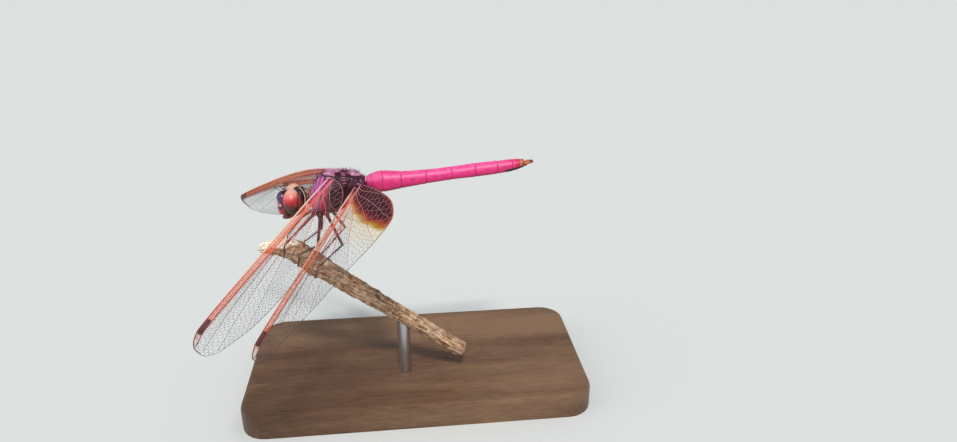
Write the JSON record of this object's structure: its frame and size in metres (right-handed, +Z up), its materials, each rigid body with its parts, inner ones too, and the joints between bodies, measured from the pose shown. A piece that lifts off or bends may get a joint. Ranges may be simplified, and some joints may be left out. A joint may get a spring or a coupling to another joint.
{
  "type": "perched dragonfly",
  "caption": "Slender dragonfly with wings swept ahead and down, gripping a broken twig held on a rod above a flat display base.",
  "frame": {"origin": "middle of the base's underside", "axes": "+Z up, the insect faces -X and its left side faces -Y"},
  "size_m": [0.0564, 0.0513, 0.0391],
  "materials": {
    "eye": null,
    "head": null,
    "thorax": null,
    "abdomen": null,
    "wing": null,
    "leg": null,
    "bark": "rough bark",
    "base_wood": "dark satin wood",
    "rod_steel": "brushed"
  },
  "bodies": {
    "root": {"abdomen_s1": "abdomen", "abdomen_s10": "abdomen", "abdomen_s2": "abdomen", "abdomen_s3": "abdomen", "abdomen_s4": "abdomen", "abdomen_s5": "abdomen", "abdomen_s6": "abdomen", "abdomen_s7": "abdomen", "abdomen_s8": "abdomen", "abdomen_s9": "abdomen", "antenna_left": "head", "antenna_right": "head", "cercus_left": "abdomen", "cercus_right": "abdomen", "eye_left": "eye", "eye_right": "eye", "fore_wing_left": "wing", "fore_wing_right": "wing", "frons": "head", "head": "head", "hind_wing_left": "wing", "hind_wing_right": "wing", "leg_fore_left_femur": "leg", "leg_fore_left_tarsus": "leg", "leg_fore_left_tibia": "leg", "leg_fore_right_femur": "leg", "leg_fore_right_tarsus": "leg", "leg_fore_right_tibia": "leg", "leg_hind_left_femur": "leg", "leg_hind_left_tarsus": "leg", "leg_hind_left_tibia": "leg", "leg_hind_right_femur": "leg", "leg_hind_right_tarsus": "leg", "leg_hind_right_tibia": "leg", "leg_mid_left_femur": "leg", "leg_mid_left_tarsus": "leg", "leg_mid_left_tibia": "leg", "leg_mid_right_femur": "leg", "leg_mid_right_tarsus": "leg", "leg_mid_right_tibia": "leg", "mouthparts": "head", "perch_twig": "bark", "prothorax": "thorax", "stand_base": "base_wood", "stand_rod": "rod_steel", "thorax": "thorax"}
  },
  "joints": []
}
